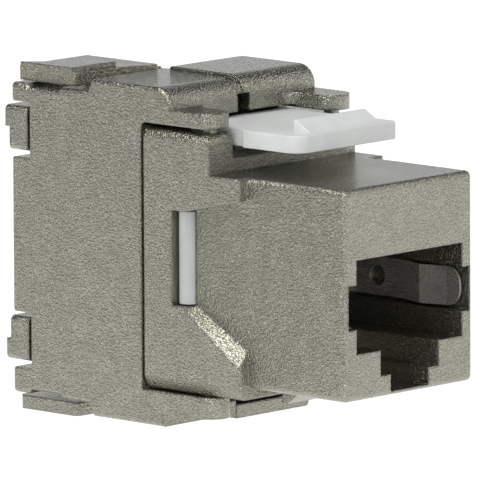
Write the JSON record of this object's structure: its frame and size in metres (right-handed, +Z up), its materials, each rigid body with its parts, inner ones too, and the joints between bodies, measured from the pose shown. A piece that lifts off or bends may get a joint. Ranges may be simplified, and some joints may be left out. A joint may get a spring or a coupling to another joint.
{
  "type": "keystone jack",
  "caption": "Shielded keystone jack with a modular plug opening in front, a spring latch on top and two hinged rear wings that close round the cable.",
  "frame": {"origin": "middle of the plug opening, in the plane of the front face", "axes": "+X to the right as seen from the front, +Y from the front face to the cable end, +Z up, with the latch on top"},
  "size_m": [0.0168, 0.0357, 0.0278],
  "materials": {
    "cast_metal": "satin nickel plate on sandblasted zinc casting",
    "white_plastic": "moulded, slightly translucent white",
    "dark_plastic": "moulded",
    "grey_plastic": "moulded",
    "board_laminate": "solder mask",
    "spring_steel": "rolled strip",
    "gold_contact": "gold plate",
    "tinned_bronze": "tin plate"
  },
  "bodies": {
    "housing": {"housing": "cast_metal", "contact_carrier": "dark_plastic", "circuit_board": "board_laminate", "blade_holder": "white_plastic", "wire_cap": "grey_plastic", "shield_spring_left": "spring_steel", "shield_spring_right": "spring_steel", "contact_1": "gold_contact", "contact_2": "gold_contact", "contact_3": "gold_contact", "contact_4": "gold_contact", "contact_5": "gold_contact", "contact_6": "gold_contact", "contact_7": "gold_contact", "contact_8": "gold_contact", "blade_1": "tinned_bronze", "blade_2": "tinned_bronze", "blade_3": "tinned_bronze", "blade_4": "tinned_bronze", "blade_5": "tinned_bronze", "blade_6": "tinned_bronze", "blade_7": "tinned_bronze", "blade_8": "tinned_bronze"},
    "left_wing": {"left_wing": "cast_metal"},
    "right_wing": {"right_wing": "cast_metal"},
    "latch": {"latch": "white_plastic"}
  },
  "joints": [
    {"name": "left_wing_hinge", "type": "hinge", "parent": "housing", "child": "left_wing", "pos_m": [-0.00695, 0.0146, 0], "axis": [0, 0, 1], "range_deg": [0, 95]},
    {"name": "right_wing_hinge", "type": "hinge", "parent": "housing", "child": "right_wing", "pos_m": [0.00695, 0.0146, 0], "axis": [0, 0, -1], "range_deg": [0, 95]},
    {"name": "latch_flex", "type": "hinge", "parent": "housing", "child": "latch", "pos_m": [0, 0.0164, 0.01023], "axis": [1, 0, 0], "range_deg": [0, 7], "stiffness_Nm_per_rad": 0.4}
  ]
}
